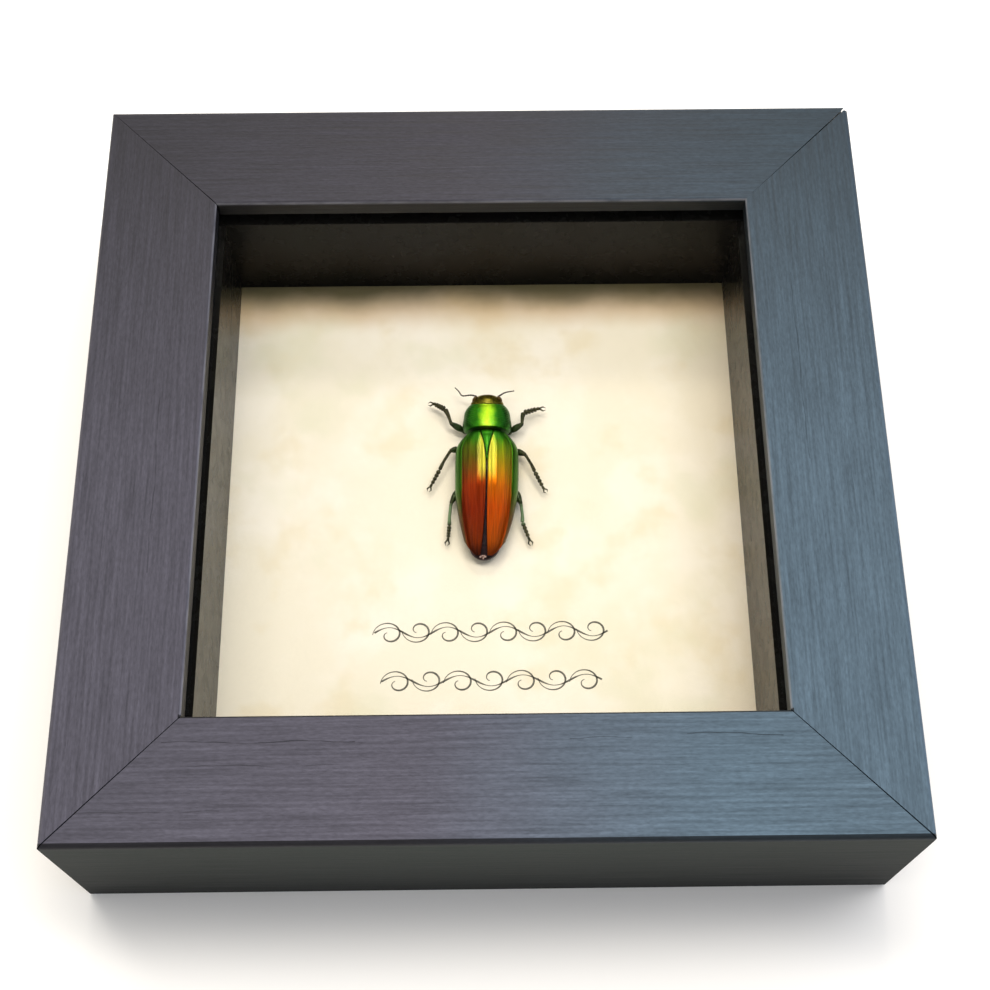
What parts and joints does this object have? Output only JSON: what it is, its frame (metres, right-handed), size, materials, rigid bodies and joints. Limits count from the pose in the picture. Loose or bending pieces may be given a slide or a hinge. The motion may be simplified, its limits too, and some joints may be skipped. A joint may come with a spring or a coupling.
{
  "type": "framed beetle specimen",
  "caption": "Jewel beetle with green and orange wing cases, fixed on parchment behind glass in a square mitred shadow-box frame with a dark painted finish.",
  "frame": {"origin": "middle of the frame's back, where it lies on a table", "axes": "+X to the picture's right, +Y to the picture's top (the beetle's head), +Z out of the glass"},
  "size_m": [0.127, 0.127, 0.034],
  "materials": {
    "painted_wood": "matt blue-grey paint over fine straight grain",
    "clear_glass": "clear polished sheet",
    "black_strip": "matt near-black",
    "parchment": "printed parchment, cream with soft mottling",
    "board": "white board with a foam core",
    "hardboard": "smooth brown hardboard",
    "zinc_steel": "zinc-plated sheet steel",
    "case_shell": "metallic chitin, green at the edges to orange and red-brown",
    "green_shell": "metallic green chitin",
    "copper_shell": "coppery chitin with red-brown eyes",
    "dark_shell": "dark purple-brown chitin",
    "leg_shell": "dark green-black chitin"
  },
  "bodies": {
    "root": {"rail_bottom": "painted_wood", "rail_right": "painted_wood", "rail_top": "painted_wood", "rail_left": "painted_wood", "glass_pane": "clear_glass", "parchment_sheet": "parchment", "mount_board": "board", "back_panel": "hardboard", "spacer_bottom": "black_strip", "spacer_right": "black_strip", "spacer_top": "black_strip", "spacer_left": "black_strip", "point_bottom_a": "zinc_steel", "point_bottom_b": "zinc_steel", "point_right_a": "zinc_steel", "point_right_b": "zinc_steel", "point_top_a": "zinc_steel", "point_top_b": "zinc_steel", "point_left_a": "zinc_steel", "point_left_b": "zinc_steel", "hanger": "zinc_steel", "head": "copper_shell", "prothorax": "green_shell", "scutellum": "green_shell", "wing_case_left": "case_shell", "wing_case_right": "case_shell", "abdomen": "dark_shell", "leg_front_left": "leg_shell", "leg_front_right": "leg_shell", "leg_middle_left": "leg_shell", "leg_middle_right": "leg_shell", "leg_hind_left": "leg_shell", "leg_hind_right": "leg_shell", "antenna_left": "dark_shell", "antenna_right": "dark_shell"}
  },
  "joints": []
}
